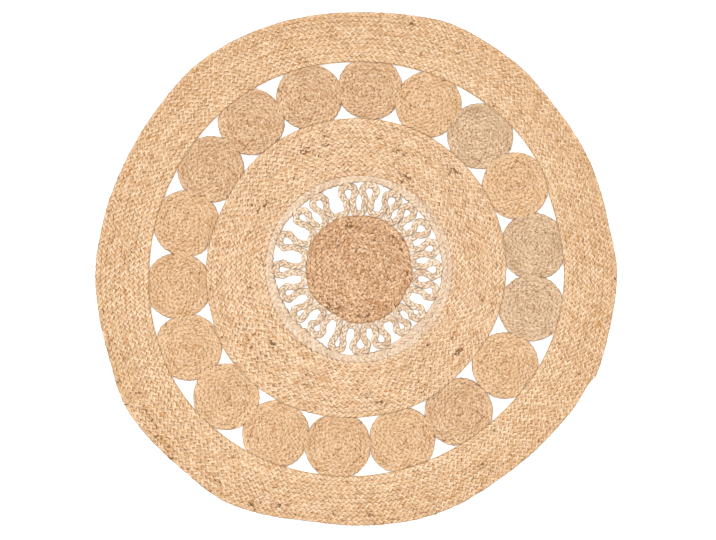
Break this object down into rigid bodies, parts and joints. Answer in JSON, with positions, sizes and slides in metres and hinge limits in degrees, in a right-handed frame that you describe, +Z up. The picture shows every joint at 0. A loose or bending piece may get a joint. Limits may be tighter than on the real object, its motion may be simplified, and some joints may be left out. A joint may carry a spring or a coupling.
{
  "type": "round braided jute rug",
  "caption": "Round jute rug of coiled flat braid: a wide outer band, a channel of small coiled discs, a middle ring, and a circle of open loops round a coiled centre.",
  "frame": {"origin": "on the floor under the middle of the rug's outline", "axes": "+Z up through the rug's thickness, +Y towards the top of the picture, +X to its right"},
  "size_m": [1.2064, 1.1882, 0.008],
  "materials": {
    "outer_braid": "golden braided jute, matt with a faint fibre sheen",
    "ring_braid": "golden braided jute streaked with brown, matt",
    "pale_braid": "pale braided jute, matt",
    "centre_braid": "brown braided jute, matt",
    "disc_gold": "golden braided jute, matt",
    "disc_brown": "warm brown braided jute, matt",
    "disc_grey": "greyish tan braided jute, matt"
  },
  "bodies": {
    "root": {"outer_band": "outer_braid", "small_disc_01": "disc_grey", "small_disc_02": "disc_gold", "small_disc_03": "disc_grey", "small_disc_04": "disc_gold", "small_disc_05": "disc_brown", "small_disc_06": "disc_brown", "small_disc_07": "disc_brown", "small_disc_08": "disc_brown", "small_disc_09": "disc_gold", "small_disc_10": "disc_gold", "small_disc_11": "disc_gold", "small_disc_12": "disc_gold", "small_disc_13": "disc_gold", "small_disc_14": "disc_gold", "small_disc_15": "disc_gold", "small_disc_16": "disc_brown", "small_disc_17": "disc_gold", "small_disc_18": "disc_grey", "middle_ring": "ring_braid", "pale_round": "pale_braid", "loop_braid": "pale_braid", "centre_disc": "centre_braid"}
  },
  "joints": []
}
